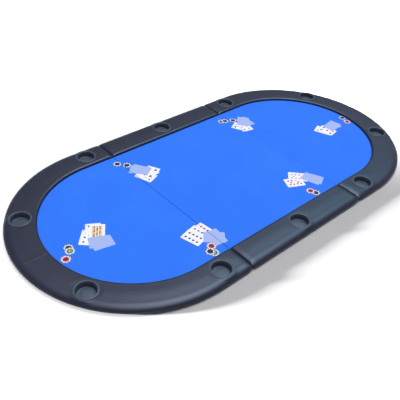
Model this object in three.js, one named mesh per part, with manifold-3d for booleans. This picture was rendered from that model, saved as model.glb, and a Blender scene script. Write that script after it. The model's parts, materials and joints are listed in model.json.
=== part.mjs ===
// Folding poker table top: an oval playing surface in three sections with a padded rail and ten
// cup holders. It lies on any table. Both folds close underside to underside: the left section
// swings under the middle on three butt hinges, then the right section goes round the pair on two
// double-pivot link hinges.
//
// Frame: millimetres, +Z up, Z = 0 at the bottom of the feet, X along the length, origin at the
// middle of the oval. Rail profiles are pairs [u, z], with u measured outwards from the rail's
// inner edge. Touching pieces keep a gap of 0.3 mm.

import * as THREE from 'three';
import { mergeVertices } from 'three/addons/utils/BufferGeometryUtils.js';
import Module from 'manifold-3d';

// ---- driving dimensions -------------------------------------------------------------------

const LENGTH = 2080;
const WIDTH = 1060;
const RAIL_WIDTH = 131;
const FOLD_X = LENGTH / 6;            // the two folds cut the length in thirds
const FOLD_GAP = 1.5;                 // open gap between two neighbouring sections
const CLEARANCE = 0.3;                // between pieces that touch on the real object

const OUTER_RADIUS = WIDTH / 2;
const INNER_RADIUS = OUTER_RADIUS - RAIL_WIDTH;
const END_CENTRE_X = LENGTH / 2 - OUTER_RADIUS;
const SECTION_EDGE = FOLD_X + FOLD_GAP / 2;
const MIDDLE_EDGE = FOLD_X - FOLD_GAP / 2;
const ARC_STEPS = 24;                 // facets round each half-circle end

const BOARD_BOTTOM = 5.8;
const BOARD_THICKNESS = 9;
const BOARD_INSET = 10;               // from the outer face of the rail to the board's edge
const FELT_BOTTOM = BOARD_BOTTOM + BOARD_THICKNESS + CLEARANCE;
const FELT_THICKNESS = 1.9;

const CORE_INNER = 6;                 // timber strip under the rail's foam
const CORE_OUTER = 119;
const CORE_THICKNESS = 5;
const CORE_TOP = FELT_BOTTOM + CORE_THICKNESS;

const RAIL_TOP = 30;
const SKIN = 1.2;                     // thickness of the leatherette
const SKIN_INNER_EDGE = 0.3;
const END_WALL_RECESS = 0.1;          // of the skin's end walls at the folds
const SKIN_BOTTOM = BOARD_BOTTOM - CLEARANCE - SKIN;
const SKIN_HEM = 104;                 // where the skin ends under the board
const INNER_ROUND = 8;                // radius of the rail's inner top edge
const OUTER_ROUND = 23;               // radius of the rail's outer top edge
const LOWER_ROUND = 2;                // radius of the turn under the board
const PAD_GAP = SKIN + CLEARANCE;     // from the skin's outer face to the foam
const PAD_LIP_BOTTOM = 6.4;           // the foam beside the board's edge ends here

const CUP_LINE = INNER_RADIUS + RAIL_WIDTH / 2;
const CUP_SIDE_X = 455.7;             // cups beside the folds
const CUP_END_ANGLE = 31.5;           // degrees from the long axis, about the end's centre
const CUP_SEGMENTS = 16;
const CUP_HOLE_RADIUS = 42;
const CUP_FLANGE_RADIUS = 48.5;
const CUP_MOUTH_RADIUS = 40;
const CUP_FLOOR_RADIUS = 36.6;
const CUP_WALL = 1.3;
const CUP_TOP = 31.6;
const CUP_BOTTOM = 6;

const FOOT_RADIUS = 15;
const FOOT_TOP = BOARD_BOTTOM - CLEARANCE;
const FOOT_SEGMENTS = 16;

const HINGE_Z = 2.5;                  // height of every pin's centre
const HINGE_LENGTH = 60;
const HINGE_OFFSET_Y = 330;           // hinges off the centre line
const LEAF_WIDTH = 35;
const LEAF_THICKNESS = 1.2;
const LEAF_TOP = FOOT_TOP - HINGE_Z;  // above the pin's centre
const KNUCKLE_RADIUS = 2.3;
const PIN_RADIUS = 1.1;
const PIN_HOLE_RADIUS = 1.45;
const KNUCKLE_GAP = 0.4;
const BUTT_KNUCKLES = 5;
const LINK_LENGTH = 33;               // between the two pins of a link hinge
const LINK_WIDTH = 22;
const LINK_THICKNESS = 2.6;
const ROUND_SEGMENTS = 4;             // curve divisions on knuckles and pins

const HALF_TURN = Math.PI;
const QUARTER_TURN = Math.PI / 2;

// ---- solids -------------------------------------------------------------------------------

const wasm = await Module();
wasm.setup();

function toSolid(geometry) {
  const bare = geometry.clone();
  bare.deleteAttribute('normal');
  bare.deleteAttribute('uv');
  const merged = mergeVertices(bare, 1e-4);
  return new wasm.Manifold(new wasm.Mesh({
    numProp: 3,
    vertProperties: new Float32Array(merged.attributes.position.array),
    triVerts: new Uint32Array(merged.index.array),
  }));
}

function toGeometry(solid) {
  const mesh = solid.getMesh();
  const geometry = new THREE.BufferGeometry();
  geometry.setAttribute('position', new THREE.BufferAttribute(mesh.vertProperties, 3));
  geometry.setIndex(new THREE.BufferAttribute(mesh.triVerts, 1));
  geometry.computeVertexNormals();
  return geometry;
}

function join(geometries) {
  return toGeometry(geometries.map(toSolid).reduce((whole, piece) => whole.add(piece)));
}

function upright(shape, bottom, height, curveSegments) {
  const geometry = new THREE.ExtrudeGeometry(shape, {
    depth: height, bevelEnabled: false, steps: 1, curveSegments,
  });
  return geometry.translate(0, 0, bottom);
}

// ---- rail runs ----------------------------------------------------------------------------

// The rail's inner edge round the right-hand end, clockwise seen from above: along the far side,
// round the half circle in equal facets, and back along the near side.
class EndRun extends THREE.Curve {
  constructor(startX) {
    super();
    this.startX = startX;
    this.steps = ARC_STEPS + 2;
  }

  angleAt(station) {
    return QUARTER_TURN - HALF_TURN * THREE.MathUtils.clamp((station - 1) / ARC_STEPS, 0, 1);
  }

  getPoint(t, target = new THREE.Vector3()) {
    const station = t * this.steps;
    const angle = this.angleAt(station);
    const straight = Math.max(1 - station, station - (this.steps - 1), 0);
    const x = END_CENTRE_X + INNER_RADIUS * Math.cos(angle);
    return target.set(THREE.MathUtils.lerp(x, this.startX, straight), INNER_RADIUS * Math.sin(angle), 0);
  }

  getTangent(t, target = new THREE.Vector3()) {
    const angle = this.angleAt(t * this.steps);
    return target.set(Math.sin(angle), -Math.cos(angle), 0);
  }

  getPointAt(u, target) {
    return this.getPoint(u, target);
  }

  getTangentAt(u, target) {
    return this.getTangent(u, target);
  }
}

function sideRun(fromX, toX) {
  return new THREE.LineCurve3(
    new THREE.Vector3(fromX, INNER_RADIUS, 0),
    new THREE.Vector3(toX, INNER_RADIUS, 0),
  );
}

// A closed profile of [u, z] points, carried along a run.
function sweep(profile, run) {
  const shape = new THREE.Shape(profile.map(([u, z]) => new THREE.Vector2(-z, u)));
  return new THREE.ExtrudeGeometry(shape, {
    steps: run.steps ?? 1, bevelEnabled: false, extrudePath: run,
  });
}

function arc([centreU, centreZ], radius, fromDegrees, toDegrees, steps) {
  return Array.from({ length: steps + 1 }, (_, i) => {
    const angle = THREE.MathUtils.degToRad(fromDegrees + (toDegrees - fromDegrees) * i / steps);
    return [centreU + radius * Math.cos(angle), centreZ + radius * Math.sin(angle)];
  });
}

// The rail's rounded outline at a depth below its outer face, from the inner edge to the outer.
function railOutline(depth) {
  const innerCentre = [SKIN_INNER_EDGE + INNER_ROUND, RAIL_TOP - INNER_ROUND];
  const outerCentre = [RAIL_WIDTH - OUTER_ROUND, RAIL_TOP - OUTER_ROUND];
  return [
    ...arc(innerCentre, INNER_ROUND - depth, 180, 90, 3),
    ...arc(outerCentre, OUTER_ROUND - depth, 90, 0, 4),
  ];
}

// The same outline with the skin's ends: down to the board inside, and turned under it outside.
function skinLine(depth) {
  const lowerCentre = [RAIL_WIDTH - LOWER_ROUND, SKIN_BOTTOM + LOWER_ROUND];
  return [
    [SKIN_INNER_EDGE + depth, FELT_BOTTOM],
    ...railOutline(depth),
    ...arc(lowerCentre, LOWER_ROUND - depth, 0, -90, 2),
    [SKIN_HEM, SKIN_BOTTOM + depth],
  ];
}

const BOARD_EDGE_U = RAIL_WIDTH - BOARD_INSET;

const coreProfile = [
  [CORE_INNER, FELT_BOTTOM],
  [CORE_OUTER, FELT_BOTTOM],
  [CORE_OUTER, CORE_TOP],
  [CORE_INNER, CORE_TOP],
];

const padProfile = [
  [SKIN_INNER_EDGE + PAD_GAP, FELT_BOTTOM + FELT_THICKNESS],
  ...railOutline(PAD_GAP),
  [RAIL_WIDTH - PAD_GAP, PAD_LIP_BOTTOM],
  [BOARD_EDGE_U + CLEARANCE, PAD_LIP_BOTTOM],
  [BOARD_EDGE_U + CLEARANCE, CORE_TOP + CLEARANCE],
  [CORE_INNER - CLEARANCE, CORE_TOP + CLEARANCE],
  [CORE_INNER - CLEARANCE, FELT_BOTTOM + FELT_THICKNESS],
];

const skinProfile = [...skinLine(0), ...skinLine(SKIN).reverse()];

// The wall that closes the skin at a fold, rooted in the middle of the skin's thickness.
const skinEndProfile = [
  [SKIN_INNER_EDGE + SKIN / 2, FELT_BOTTOM + SKIN / 2],
  ...railOutline(SKIN / 2),
  [RAIL_WIDTH - SKIN / 2, SKIN_BOTTOM + LOWER_ROUND],
  [BOARD_EDGE_U + CLEARANCE, SKIN_BOTTOM + LOWER_ROUND],
  [BOARD_EDGE_U + CLEARANCE, FELT_BOTTOM + SKIN / 2],
];

// ---- cup places ---------------------------------------------------------------------------

function endCups() {
  const angle = THREE.MathUtils.degToRad(CUP_END_ANGLE);
  const x = END_CENTRE_X + CUP_LINE * Math.cos(angle);
  const y = CUP_LINE * Math.sin(angle);
  return { side_far: [CUP_SIDE_X, CUP_LINE], end_far: [x, y], end_near: [x, -y], side_near: [CUP_SIDE_X, -CUP_LINE] };
}

function drill(geometry, places) {
  const holes = places.map(([x, y]) => {
    const hole = new THREE.CylinderGeometry(CUP_HOLE_RADIUS, CUP_HOLE_RADIUS, 2 * RAIL_TOP, CUP_SEGMENTS);
    return toSolid(hole.rotateX(QUARTER_TURN).translate(x, y, RAIL_TOP));
  });
  return toGeometry(holes.reduce((rest, hole) => rest.subtract(hole), toSolid(geometry)));
}

function cupHolder() {
  const profile = [
    [0, CUP_BOTTOM],
    [CUP_FLOOR_RADIUS + CUP_WALL - 1, CUP_BOTTOM],
    [CUP_FLOOR_RADIUS + CUP_WALL, CUP_BOTTOM + 1],
    [CUP_MOUTH_RADIUS + CUP_WALL, RAIL_TOP + CLEARANCE],
    [CUP_FLANGE_RADIUS, RAIL_TOP + CLEARANCE],
    [CUP_FLANGE_RADIUS - 1, CUP_TOP],
    [CUP_MOUTH_RADIUS + 1, CUP_TOP],
    [CUP_MOUTH_RADIUS, CUP_TOP - 1],
    [CUP_FLOOR_RADIUS, CUP_BOTTOM + CUP_WALL],
    [0, CUP_BOTTOM + CUP_WALL],
  ];
  const points = profile.map(([r, z]) => new THREE.Vector2(r, z));
  return new THREE.LatheGeometry(points, CUP_SEGMENTS).rotateX(QUARTER_TURN);
}

// ---- section pieces -----------------------------------------------------------------------

function endPlate(radius, startX, bottom, height) {
  const outline = new THREE.Shape();
  outline.moveTo(startX, radius);
  outline.lineTo(startX, -radius);
  outline.absarc(END_CENTRE_X, 0, radius, -QUARTER_TURN, QUARTER_TURN, false);
  outline.closePath();
  return upright(outline, bottom, height, ARC_STEPS / 2);
}

function middlePlate(halfWidth, bottom, height) {
  const plate = new THREE.BoxGeometry(2 * MIDDLE_EDGE, 2 * halfWidth, height);
  return plate.translate(0, 0, bottom + height / 2);
}

function skinEnd(fromX) {
  return sweep(skinEndProfile, sideRun(fromX + END_WALL_RECESS, fromX + SKIN - END_WALL_RECESS));
}

function endSkin() {
  const farWall = skinEnd(SECTION_EDGE);
  const nearWall = skinEnd(-SECTION_EDGE - SKIN).rotateZ(HALF_TURN);
  return join([sweep(skinProfile, new EndRun(SECTION_EDGE)), farWall, nearWall]);
}

function middleSkin() {
  const walls = [-MIDDLE_EDGE, MIDDLE_EDGE - SKIN].map(skinEnd);
  return join([sweep(skinProfile, sideRun(-MIDDLE_EDGE, MIDDLE_EDGE)), ...walls]);
}

// ---- hinge pieces -------------------------------------------------------------------------

// Side outlines are drawn in X and height about the pin's centre and extruded along the pin.
function alongPin(shape, fromY, toY) {
  const piece = new THREE.ExtrudeGeometry(shape, {
    depth: toY - fromY, bevelEnabled: false, steps: 1, curveSegments: ROUND_SEGMENTS,
  });
  return piece.rotateX(QUARTER_TURN).translate(0, toY, 0);
}

function pinHole(x) {
  const hole = new THREE.Path();
  hole.absarc(x, 0, PIN_HOLE_RADIUS, 0, 2 * HALF_TURN, true);
  return hole;
}

function knuckle(fromY, toY) {
  const outline = new THREE.Shape();
  outline.moveTo(0, LEAF_TOP);
  outline.lineTo(0, KNUCKLE_RADIUS);
  outline.absarc(0, 0, KNUCKLE_RADIUS, QUARTER_TURN, 2 * HALF_TURN, false);
  outline.lineTo(KNUCKLE_RADIUS, LEAF_TOP - LEAF_THICKNESS);
  outline.lineTo(LEAF_WIDTH / 2, LEAF_TOP - LEAF_THICKNESS);
  outline.lineTo(LEAF_WIDTH / 2, LEAF_TOP);
  outline.closePath();
  outline.holes.push(pinHole(0));
  return alongPin(outline, fromY, toY);
}

// A leaf with its plate on the +X side of the pin, and a knuckle on each given stretch of it.
function hingeLeaf(stretches) {
  const innerEdge = KNUCKLE_RADIUS + KNUCKLE_GAP;
  const plate = new THREE.BoxGeometry(LEAF_WIDTH - innerEdge, HINGE_LENGTH, LEAF_THICKNESS);
  plate.translate((LEAF_WIDTH + innerEdge) / 2, 0, LEAF_TOP - LEAF_THICKNESS / 2);
  return join([plate, ...stretches.map(([fromY, toY]) => knuckle(fromY, toY))]);
}

function buttStretches(first) {
  const pitch = HINGE_LENGTH / BUTT_KNUCKLES;
  const stretches = [];
  for (let i = first; i < BUTT_KNUCKLES; i += 2) {
    const start = i * pitch - HINGE_LENGTH / 2;
    stretches.push([start + KNUCKLE_GAP / 2, start + pitch - KNUCKLE_GAP / 2]);
  }
  return stretches;
}

const outerStretches = [
  [-HINGE_LENGTH / 2, -LINK_WIDTH / 2 - KNUCKLE_GAP],
  [LINK_WIDTH / 2 + KNUCKLE_GAP, HINGE_LENGTH / 2],
];

// The bar of a link hinge, with an eye for a pin at each end.
function hingeLink() {
  const neck = Math.asin(LINK_THICKNESS / 2 / KNUCKLE_RADIUS);
  const outline = new THREE.Shape();
  outline.absarc(-LINK_LENGTH / 2, 0, KNUCKLE_RADIUS, neck, 2 * HALF_TURN - neck, false);
  outline.absarc(LINK_LENGTH / 2, 0, KNUCKLE_RADIUS, HALF_TURN + neck, 3 * HALF_TURN - neck, false);
  outline.closePath();
  outline.holes.push(pinHole(-LINK_LENGTH / 2), pinHole(LINK_LENGTH / 2));
  return alongPin(outline, -LINK_WIDTH / 2, LINK_WIDTH / 2);
}

// ---- materials ----------------------------------------------------------------------------

function finish(color, roughness, metalness = 0) {
  return new THREE.MeshStandardMaterial({ color, roughness, metalness });
}

const boardFinish = finish(0x2a2724, 0.75);
const feltFinish = finish(0x2f74f2, 0.95);
const coreFinish = finish(0xb08a5e, 0.8);
const foamFinish = finish(0x6d7076, 0.95);
const leatheretteFinish = finish(0x2b2f3b, 0.45);
const cupFinish = finish(0x1d1f24, 0.5);
const steelFinish = finish(0xa9abad, 0.35, 1);
const rubberFinish = finish(0x17181a, 0.85);

// ---- assembly -----------------------------------------------------------------------------

const table = new THREE.Group();

function place(name, geometry, material, parent = table) {
  const mesh = new THREE.Mesh(geometry, material);
  mesh.name = name;
  parent.add(mesh);
  return mesh;
}

// The right-hand end is drawn; the left one is the same turned half round.
function addEndSection(side) {
  const section = new THREE.Group();
  section.rotation.z = side === 'left' ? HALF_TURN : 0;
  table.add(section);
  const inside = SECTION_EDGE + PAD_GAP;
  const cups = endCups();
  const places = Object.values(cups);
  const board = endPlate(OUTER_RADIUS - BOARD_INSET, SECTION_EDGE, BOARD_BOTTOM, BOARD_THICKNESS);
  const felt = endPlate(INNER_RADIUS - CLEARANCE, SECTION_EDGE, FELT_BOTTOM, FELT_THICKNESS);
  place(`${side}_board`, drill(board, places), boardFinish, section);
  place(`${side}_felt`, felt, feltFinish, section);
  place(`${side}_rail_core`, drill(sweep(coreProfile, new EndRun(inside)), places), coreFinish, section);
  place(`${side}_rail_pad`, drill(sweep(padProfile, new EndRun(inside)), places), foamFinish, section);
  place(`${side}_rail_cover`, drill(endSkin(), places), leatheretteFinish, section);
  for (const [spot, [x, y]] of Object.entries(cups)) {
    place(`${side}_cup_${spot}`, cupHolder(), cupFinish, section).position.set(x, y, 0);
  }
}

function addMiddleSection() {
  const cups = { far: [0, CUP_LINE], near: [0, -CUP_LINE] };
  const board = middlePlate(OUTER_RADIUS - BOARD_INSET, BOARD_BOTTOM, BOARD_THICKNESS);
  const felt = middlePlate(INNER_RADIUS - CLEARANCE, FELT_BOTTOM, FELT_THICKNESS);
  place('middle_board', drill(board, Object.values(cups)), boardFinish);
  place('middle_felt', felt, feltFinish);
  const inside = MIDDLE_EDGE - PAD_GAP;
  for (const [spot, [x, y]] of Object.entries(cups)) {
    const rail = new THREE.Group();
    rail.rotation.z = spot === 'near' ? HALF_TURN : 0;
    table.add(rail);
    const core = drill(sweep(coreProfile, sideRun(-inside, inside)), [cups.far]);
    const pad = drill(sweep(padProfile, sideRun(-inside, inside)), [cups.far]);
    place(`middle_${spot}_rail_core`, core, coreFinish, rail);
    place(`middle_${spot}_rail_pad`, pad, foamFinish, rail);
    place(`middle_${spot}_rail_cover`, drill(middleSkin(), [cups.far]), leatheretteFinish, rail);
    place(`middle_cup_${spot}`, cupHolder(), cupFinish).position.set(x, y, 0);
  }
}

function addFeet(section, places) {
  places.forEach(([x, y], i) => {
    const foot = new THREE.CylinderGeometry(FOOT_RADIUS, FOOT_RADIUS, FOOT_TOP, FOOT_SEGMENTS);
    place(`${section}_foot_${i + 1}`, foot.rotateX(QUARTER_TURN), rubberFinish).position.set(x, y, FOOT_TOP / 2);
  });
}

function addPin(name, x, y) {
  const pin = new THREE.CylinderGeometry(PIN_RADIUS, PIN_RADIUS, HINGE_LENGTH, 2 * ROUND_SEGMENTS);
  place(name, pin, steelFinish).position.set(x, y, HINGE_Z);
}

function addLeaf(name, stretches, x, y, towardsLeft) {
  const leaf = place(name, hingeLeaf(stretches), steelFinish);
  leaf.position.set(x, y, HINGE_Z);
  leaf.rotation.z = towardsLeft ? HALF_TURN : 0;
}

function addButtHinge(spot, y) {
  addLeaf(`left_hinge_${spot}_middle_leaf`, buttStretches(0), -FOLD_X, y, false);
  addLeaf(`left_hinge_${spot}_left_leaf`, buttStretches(1), -FOLD_X, y, true);
  addPin(`left_hinge_${spot}_pin`, -FOLD_X, y);
}

function addLinkHinge(spot, y) {
  const middlePinX = FOLD_X - LINK_LENGTH / 2;
  const rightPinX = FOLD_X + LINK_LENGTH / 2;
  addLeaf(`right_hinge_${spot}_middle_leaf`, outerStretches, middlePinX, y, true);
  addLeaf(`right_hinge_${spot}_right_leaf`, outerStretches, rightPinX, y, false);
  place(`right_hinge_${spot}_link`, hingeLink(), steelFinish).position.set(FOLD_X, y, HINGE_Z);
  addPin(`right_hinge_${spot}_middle_pin`, middlePinX, y);
  addPin(`right_hinge_${spot}_right_pin`, rightPinX, y);
}

addEndSection('left');
addMiddleSection();
addEndSection('right');

// The feet of the left and middle sections are staggered, so that they pass when folded.
addFeet('left', [[-420, 260], [-420, -260], [-960, 0]]);
addFeet('middle', [[-250, 200], [-250, -200], [250, 200], [250, -200]]);
addFeet('right', [[420, 260], [420, -260], [960, 0]]);

addButtHinge('far', HINGE_OFFSET_Y);
addButtHinge('centre', 0);
addButtHinge('near', -HINGE_OFFSET_Y);
addLinkHinge('far', HINGE_OFFSET_Y);
addLinkHinge('near', -HINGE_OFFSET_Y);

export default table;
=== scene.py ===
import json
import math
import random

import bmesh
import bpy
from mathutils import Matrix, Vector, noise


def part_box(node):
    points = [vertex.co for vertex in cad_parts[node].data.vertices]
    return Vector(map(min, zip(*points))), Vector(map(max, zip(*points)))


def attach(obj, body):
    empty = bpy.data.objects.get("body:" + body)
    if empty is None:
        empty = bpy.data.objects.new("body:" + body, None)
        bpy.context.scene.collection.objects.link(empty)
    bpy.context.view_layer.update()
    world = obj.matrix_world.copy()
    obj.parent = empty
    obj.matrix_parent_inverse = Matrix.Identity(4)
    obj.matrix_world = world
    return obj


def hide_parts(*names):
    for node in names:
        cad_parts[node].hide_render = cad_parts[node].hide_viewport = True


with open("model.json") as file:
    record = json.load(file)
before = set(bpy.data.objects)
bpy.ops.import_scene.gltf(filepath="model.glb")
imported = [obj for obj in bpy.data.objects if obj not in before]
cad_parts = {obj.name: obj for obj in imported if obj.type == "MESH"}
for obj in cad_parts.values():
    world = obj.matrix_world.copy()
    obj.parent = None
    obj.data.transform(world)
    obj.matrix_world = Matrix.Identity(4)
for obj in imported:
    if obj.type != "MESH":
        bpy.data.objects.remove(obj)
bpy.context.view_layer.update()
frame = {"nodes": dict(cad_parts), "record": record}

# Folding poker table top. Shapes are worked out in millimetres in the part's frame (X along the
# length, Y across, Z up) and written to the meshes in metres.
MM = 0.001


def node_box(node):
    low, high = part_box(node)
    return low / MM, high / MM


# ---- sizes that come from the frame ----

FELT_LOW, FELT_HIGH = node_box("middle_felt")
BOARD_LOW, BOARD_HIGH = node_box("middle_board")
COVER_LOW, COVER_HIGH = node_box("middle_far_rail_cover")
CORE_LOW, CORE_HIGH = node_box("middle_far_rail_core")
CUP_LOW, CUP_HIGH = node_box("middle_cup_far")

OUTER_RADIUS = COVER_HIGH.y
END_CENTRE_X = node_box("right_rail_cover")[1].x - OUTER_RADIUS
MIDDLE_EDGE = COVER_HIGH.x
SECTION_EDGE = node_box("right_board")[0].x
FOLD_X = (MIDDLE_EDGE + SECTION_EDGE) / 2
FELT_TOP = FELT_HIGH.z
FELT_RADIUS = FELT_HIGH.y
INNER_RADIUS = FELT_RADIUS + 0.3        # of the rail; a U below is a distance outwards from it
RAIL_WIDTH = OUTER_RADIUS - INNER_RADIUS
RAIL_TOP = COVER_HIGH.z
SKIN_BOTTOM = COVER_LOW.z
BOARD_EDGE_U = BOARD_HIGH.y - INNER_RADIUS
CORE_INSET = CORE_LOW.y - INNER_RADIUS
CORE_OUTER = CORE_HIGH.y - INNER_RADIUS
CUP_TOP = CUP_HIGH.z
CUP_BOTTOM = CUP_LOW.z
CUP_FLANGE_RADIUS = (CUP_HIGH.y - CUP_LOW.y) / 2
UNDERSIDE = node_box("middle_foot_1")[1].z       # of the boards, which feet and hinges lie against
HINGE_PIN = frame["record"]["behaviour"]["joints"][0]["pos_m"][2] / MM

END_BODIES = {"left": -1, "right": 1}
MIDDLE_SIDES = {"far": 1, "near": -1}


def centre_of(node):
    low, high = node_box(node)
    return (low + high) / 2


CUPS = {node: centre_of(node) for node in frame["nodes"] if "_cup_" in node}


# ---- mesh helpers ----

def add_mesh(name, points, faces, smooth=True):
    """A mesh object from points in millimetres."""
    mesh = bpy.data.meshes.new(name)
    mesh.from_pydata([Vector(p) * MM for p in points], [], faces)
    mesh.validate()
    made = bpy.data.objects.new(name, mesh)
    bpy.context.scene.collection.objects.link(made)
    for polygon in mesh.polygons:
        polygon.use_smooth = smooth
    return made


def apply_modifier(piece, kind, **settings):
    modifier = piece.modifiers.new(kind.lower(), kind)
    for key, value in settings.items():
        setattr(modifier, key, value)
    depsgraph = bpy.context.evaluated_depsgraph_get()
    mesh = bpy.data.meshes.new_from_object(piece.evaluated_get(depsgraph))
    piece.modifiers.remove(modifier)
    old = piece.data
    piece.data = mesh
    bpy.data.meshes.remove(old)


def remove(*pieces):
    for piece in pieces:
        bpy.data.objects.remove(piece)


def join_pieces(name, pieces):
    """One object from several, keeping their materials."""
    if len(pieces) > 1:
        with bpy.context.temp_override(active_object=pieces[0], selected_editable_objects=pieces):
            bpy.ops.object.join()
    pieces[0].name = name
    return pieces[0]


def subtract(piece, cutter):
    """Cuts a closed piece. The cut walls take the material slot after the piece's own."""
    cutter.data.materials.append(None)
    apply_modifier(piece, "BOOLEAN", operation="DIFFERENCE", object=cutter, solver="MANIFOLD")
    remove(cutter)


def bevel(piece, radius, segments, wanted):
    """Rounds the edges whose two ends a test accepts."""
    shape = bmesh.new()
    shape.from_mesh(piece.data)
    edges = [edge for edge in shape.edges if wanted(edge.verts[0].co / MM, edge.verts[1].co / MM)]
    bmesh.ops.bevel(shape, geom=edges, offset=radius * MM, segments=segments, profile=0.5, affect="EDGES")
    shape.to_mesh(piece.data)
    shape.free()


def lathe(profile, segments):
    """Points and faces of a [radius, z] profile turned about Z. It makes a closed solid where it
    starts and ends on the axis."""
    points, faces, rings = [], [], []
    for radius, z in profile:
        if radius < 1e-6:
            rings.append([len(points)] * segments)
            points.append((0, 0, z))
            continue
        rings.append(list(range(len(points), len(points) + segments)))
        for i in range(segments):
            angle = 2 * math.pi * i / segments
            points.append((radius * math.cos(angle), radius * math.sin(angle), z))
    for low, high in zip(rings, rings[1:]):
        for i in range(segments):
            k = (i + 1) % segments
            face = list(dict.fromkeys([low[i], low[k], high[k], high[i]]))
            if len(face) > 2:
                faces.append(face)
    return points, faces


def turned(name, profile, segments, x=0.0, y=0.0):
    """A lathed mesh object that stands at a place."""
    points, faces = lathe(profile, segments)
    return add_mesh(name, [(px + x, py + y, pz) for px, py, pz in points], faces)


class Soup:
    """Many small solids gathered into one mesh."""

    def __init__(self):
        self.points = []
        self.faces = []
        self.slots = []

    def add(self, points, faces, slot=0):
        start = len(self.points)
        self.points += [tuple(p) for p in points]
        self.faces += [[start + i for i in face] for face in faces]
        self.slots += [slot] * len(faces)

    def build(self, name, materials, smooth=True):
        piece = add_mesh(name, self.points, self.faces, smooth)
        for material in materials:
            piece.data.materials.append(material)
        piece.data.polygons.foreach_set("material_index", self.slots)
        return piece


def prism(outline, bottom, top):
    """A closed slab from a counter-clockwise outline of (x, y)."""
    count = len(outline)
    points = [(x, y, bottom) for x, y in outline] + [(x, y, top) for x, y in outline]
    faces = [list(range(count - 1, -1, -1)), list(range(count, 2 * count))]
    faces += [[i, (i + 1) % count, count + (i + 1) % count, count + i] for i in range(count)]
    return points, faces


def arc_points(cx, cy, radius, start, end, steps):
    """Points on an arc, in degrees, both ends included."""
    angles = [math.radians(start + (end - start) * i / steps) for i in range(steps + 1)]
    return [(cx + radius * math.cos(a), cy + radius * math.sin(a)) for a in angles]


# ---- materials ----

class Shader:
    """A principled material and the few nodes that its colour, roughness and bump need."""

    def __init__(self, name, color, roughness, metallic=0.0, **settings):
        self.material = bpy.data.materials.new(name)
        self.material.use_nodes = True
        self.nodes = self.material.node_tree.nodes
        self.links = self.material.node_tree.links
        self.shader = self.nodes["Principled BSDF"]
        self.shader.inputs["Base Color"].default_value = (*color, 1)
        self.shader.inputs["Roughness"].default_value = roughness
        self.shader.inputs["Metallic"].default_value = metallic
        for key, value in settings.items():
            self.shader.inputs[key.replace("_", " ")].default_value = value
        self.coordinates = self.nodes.new("ShaderNodeTexCoord").outputs["Object"]
        self.normal = None

    def texture(self, kind, scale, stretch=(1, 1, 1), bands="X", **inputs):
        """A texture of that many features per metre, in the object's own space."""
        node = self.nodes.new(f"ShaderNodeTex{kind}")
        if kind == "Wave":
            node.bands_direction = bands
        vector = self.coordinates
        if stretch != (1, 1, 1):
            mapping = self.nodes.new("ShaderNodeMapping")
            mapping.inputs["Scale"].default_value = stretch
            self.links.new(vector, mapping.inputs["Vector"])
            vector = mapping.outputs["Vector"]
        self.links.new(vector, node.inputs["Vector"])
        node.inputs["Scale"].default_value = scale
        for key, value in inputs.items():
            node.inputs[key].default_value = value
        return node.outputs["Distance" if kind == "Voronoi" else "Fac"]

    def ramp(self, value, low, high, bottom, top):
        """Maps a value from low..high to bottom..top, numbers or colours."""
        if isinstance(bottom, tuple):
            node = self.nodes.new("ShaderNodeValToRGB")
            node.color_ramp.elements[0].position = low
            node.color_ramp.elements[1].position = high
            node.color_ramp.elements[0].color = (*bottom, 1)
            node.color_ramp.elements[1].color = (*top, 1)
            self.links.new(value, node.inputs["Fac"])
            return node.outputs["Color"]
        node = self.nodes.new("ShaderNodeMapRange")
        for key, number in zip(("From Min", "From Max", "To Min", "To Max"), (low, high, bottom, top)):
            node.inputs[key].default_value = number
        self.links.new(value, node.inputs["Value"])
        return node.outputs["Result"]

    def color(self, value, low, high, bottom, top):
        self.links.new(self.ramp(value, low, high, bottom, top), self.shader.inputs["Base Color"])

    def roughness(self, value, low, high, bottom, top):
        self.links.new(self.ramp(value, low, high, bottom, top), self.shader.inputs["Roughness"])

    def bump(self, height, strength, distance):
        """Adds one more layer of bump, with its depth in millimetres."""
        node = self.nodes.new("ShaderNodeBump")
        node.inputs["Strength"].default_value = strength
        node.inputs["Distance"].default_value = distance * MM
        self.links.new(height, node.inputs["Height"])
        if self.normal is not None:
            self.links.new(self.normal, node.inputs["Normal"])
        self.normal = node.outputs["Normal"]
        self.links.new(self.normal, self.shader.inputs["Normal"])


def leatherette():
    made = Shader("rail_vinyl", (0.014, 0.017, 0.033), 0.4, Specular_IOR_Level=0.42,
                  Specular_Tint=(0.74, 0.82, 1.0, 1))
    tone = made.texture("Noise", 9, Detail=4.0)
    made.color(tone, 0.3, 0.75, (0.013, 0.0155, 0.031), (0.018, 0.021, 0.039))
    grain = made.texture("Voronoi", 620, Randomness=1.0)
    pores = made.texture("Noise", 1500, Detail=3.0)
    made.roughness(grain, 0.0, 0.9, 0.46, 0.36)
    folds = made.texture("Noise", 60, Detail=3.0)
    made.bump(folds, 0.2, 1.0)
    made.bump(grain, 0.4, 0.3)
    made.bump(pores, 0.15, 0.1)
    return made.material


WEAVE = 420              # threads of the cloth per metre


def speed_cloth():
    made = Shader("speed_cloth", (0.035, 0.19, 0.86), 0.85, Specular_IOR_Level=0.12)
    tone = made.texture("Noise", 5, Detail=3.0)
    made.color(tone, 0.3, 0.72, (0.028, 0.176, 0.86), (0.032, 0.192, 0.92))
    warp = made.texture("Wave", WEAVE, Distortion=0.6, Detail=1.0)
    weft = made.texture("Wave", WEAVE, bands="Y", Distortion=0.6, Detail=1.0)
    fuzz = made.texture("Noise", 2400, Detail=2.0)
    made.roughness(fuzz, 0.3, 0.7, 0.78, 0.9)
    made.bump(warp, 0.2, 0.1)
    made.bump(weft, 0.2, 0.1)
    made.bump(fuzz, 0.2, 0.1)
    return made.material


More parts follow.
